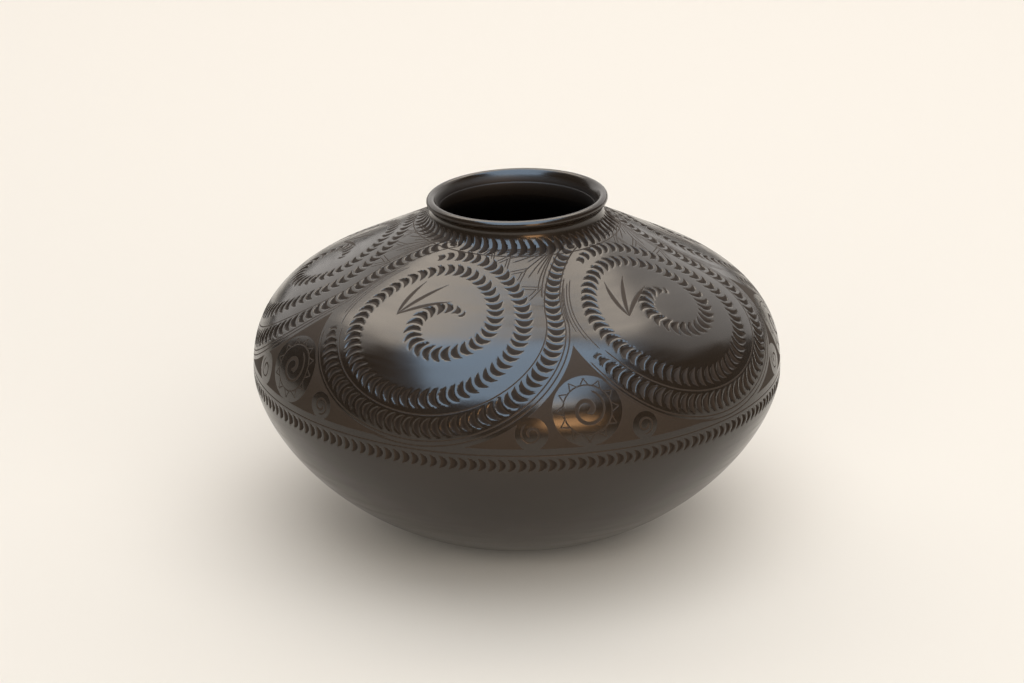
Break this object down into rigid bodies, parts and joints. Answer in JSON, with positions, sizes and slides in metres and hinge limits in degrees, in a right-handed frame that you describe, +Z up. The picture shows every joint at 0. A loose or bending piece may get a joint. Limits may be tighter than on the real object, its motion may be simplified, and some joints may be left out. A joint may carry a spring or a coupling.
{
  "type": "clay pot",
  "caption": "Wide, squat hand-built clay jar in burnished blackware, with a short flared neck and a rolled lip.",
  "frame": {"origin": "middle of the flat resting face under the base slab", "axes": "+Z up along the jar's axis of turning; X and Y level"},
  "size_m": [0.28, 0.28, 0.183],
  "materials": {
    "burnished_body_clay": "smoke-blackened clay, stone burnished to a soft gloss",
    "carved_shoulder_clay": "smoke-blackened clay, burnished gloss with matte gouged cuts",
    "polished_rim_clay": "smoke-blackened clay, burnished to a high gloss"
  },
  "bodies": {
    "root": {"base_slab": "burnished_body_clay", "lower_wall_coil": "burnished_body_clay", "belly_coil": "burnished_body_clay", "lower_shoulder_coil": "carved_shoulder_clay", "upper_shoulder_coil": "carved_shoulder_clay", "neck_coil": "carved_shoulder_clay", "rim_coil": "polished_rim_clay"}
  },
  "joints": []
}
